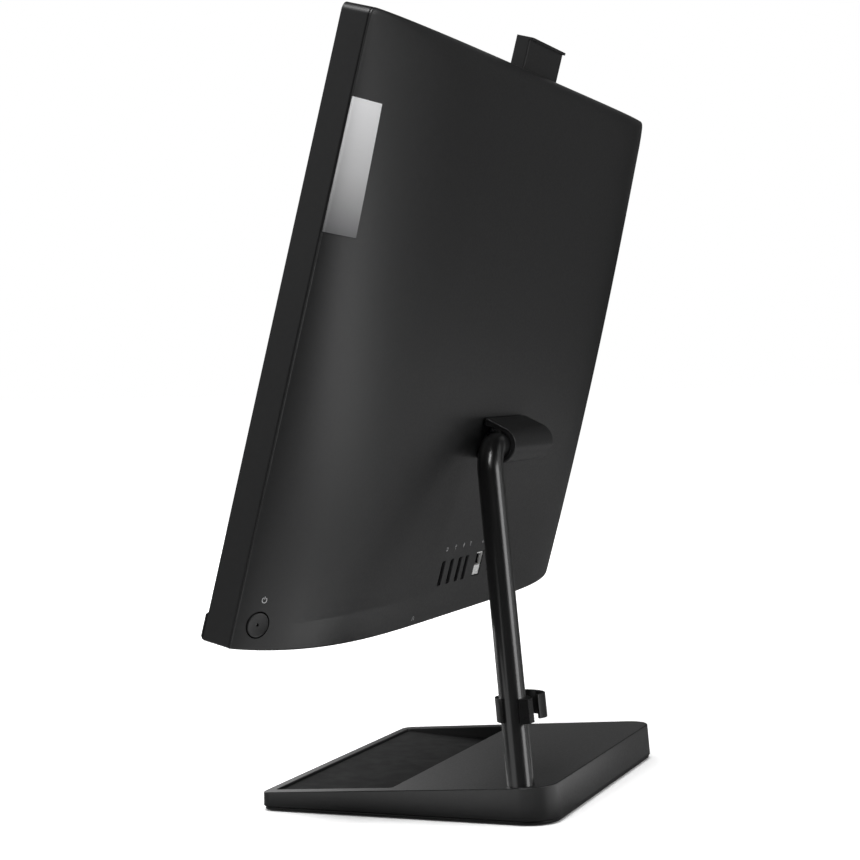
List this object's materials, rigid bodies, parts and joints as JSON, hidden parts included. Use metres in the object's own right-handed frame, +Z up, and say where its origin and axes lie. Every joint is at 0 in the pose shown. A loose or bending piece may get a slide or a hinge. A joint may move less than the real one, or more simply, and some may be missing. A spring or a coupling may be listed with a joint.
{
  "type": "all-in-one pc",
  "caption": "All-in-one desktop computer: widescreen display with the computer in its back, tilting on a bent pipe over a wedge base with a front tray.",
  "frame": {"origin": "on the desk at the centre of the base's footprint", "axes": "+Z up, the screen faces -Y, +X is the side of the screen that carries the power button and the pipe's foot"},
  "size_m": [0.541, 0.185, 0.4715],
  "materials": {
    "cover_plastic": "black moulded plastic with a very fine even texture, satin",
    "trim_plastic": "black moulded plastic, satin",
    "base_plastic": "black moulded plastic with a fine texture, matt",
    "tray_rubber": "dark grey soft-touch mat, matt",
    "foot_rubber": "black rubber, matt",
    "pipe_paint": "black semi-gloss paint on a steel tube",
    "badge_metal": "brushed silver, fading from light to grey",
    "screen_glass": "black switched-off display, anti-glare",
    "lens_glass": "black glass window",
    "diffuser_plastic": "white light guide and diffuser sheets",
    "sheet_steel": "bright zinc-plated sheet steel",
    "steel_hardware": "machined steel",
    "nylon": "natural nylon",
    "circuit_board": "green solder mask with black packages",
    "copper": "bare copper",
    "component_plastic": "black engineering plastic",
    "drive_alloy": "cast and brushed aluminium case",
    "port_metal": "bright nickel-plated connector shells"
  },
  "bodies": {
    "base": {"base_shell": "base_plastic", "tray_mat": "tray_rubber", "base_weight_plate": "sheet_steel", "base_bottom_cover": "base_plastic", "rubber_foot_1": "foot_rubber", "rubber_foot_2": "foot_rubber", "rubber_foot_3": "foot_rubber", "rubber_foot_4": "foot_rubber", "base_screw_1": "steel_hardware", "base_screw_2": "steel_hardware", "base_screw_3": "steel_hardware", "stand_pipe": "pipe_paint", "pipe_foot_flange": "sheet_steel", "flange_screw_1": "steel_hardware", "flange_screw_2": "steel_hardware", "hinge_shaft": "steel_hardware", "hinge_lock_nut": "steel_hardware"},
    "cable_clip": {"cable_clip": "trim_plastic"},
    "head": {"rear_cover": "cover_plastic", "hinge_housing": "cover_plastic", "front_bezel": "trim_plastic", "speaker_bar": "trim_plastic", "badge_plate": "badge_metal", "lcd_glass": "screen_glass", "backlight_unit": "diffuser_plastic", "lcd_rear_tray": "sheet_steel", "mid_frame": "sheet_steel", "hinge_bracket": "sheet_steel", "cover_screw_1": "steel_hardware", "cover_screw_2": "steel_hardware", "cover_screw_3": "steel_hardware", "cover_screw_4": "steel_hardware", "hinge_bush_near": "nylon", "hinge_bush_far": "nylon", "camera_guide": "nylon", "drive_caddy": "nylon", "main_board": "circuit_board", "power_switch_board": "circuit_board", "memory_module_1": "circuit_board", "memory_module_2": "circuit_board", "storage_card": "circuit_board", "wireless_card": "circuit_board", "processor_cold_plate": "copper", "heat_pipe": "copper", "fin_stack": "copper", "fan_housing": "component_plastic", "speaker_left": "component_plastic", "speaker_right": "component_plastic", "dc_jack": "component_plastic", "audio_jack": "component_plastic", "hard_drive": "drive_alloy", "video_port": "port_metal", "usb_port_1": "port_metal", "usb_port_2": "port_metal", "usb_port_3": "port_metal", "lan_port": "port_metal"},
    "power_button": {"power_button": "trim_plastic"},
    "camera": {"camera_module": "trim_plastic", "camera_lens": "lens_glass"},
    "fan_rotor": {"fan_rotor": "component_plastic"}
  },
  "joints": [
    {"name": "screen_tilt", "type": "hinge", "parent": "base", "child": "head", "pos_m": [0.005, 0.0377, 0.2187], "axis": [1, 0, 0], "range_deg": [0, 20]},
    {"name": "clip_slide", "type": "slide", "parent": "base", "child": "cable_clip", "axis": [-0.2316, -0.159, 0.9597], "range_m": [-0.028, 0.1]},
    {"name": "power_button_press", "type": "slide", "parent": "head", "child": "power_button", "axis": [-0.4695, -0.8529, 0.2285], "range_m": [0, 0.001], "stiffness_N_per_m": 1200, "springref_m": -0.0006},
    {"name": "camera_slide", "type": "slide", "parent": "head", "child": "camera", "axis": [0, 0.2588, 0.9659], "range_m": [-0.0203, 0]},
    {"name": "fan_spin", "type": "hinge", "parent": "head", "child": "fan_rotor", "pos_m": [0.15, 0.03376, 0.34347], "axis": [0, 0.9659, -0.2588], "continuous": true}
  ]
}
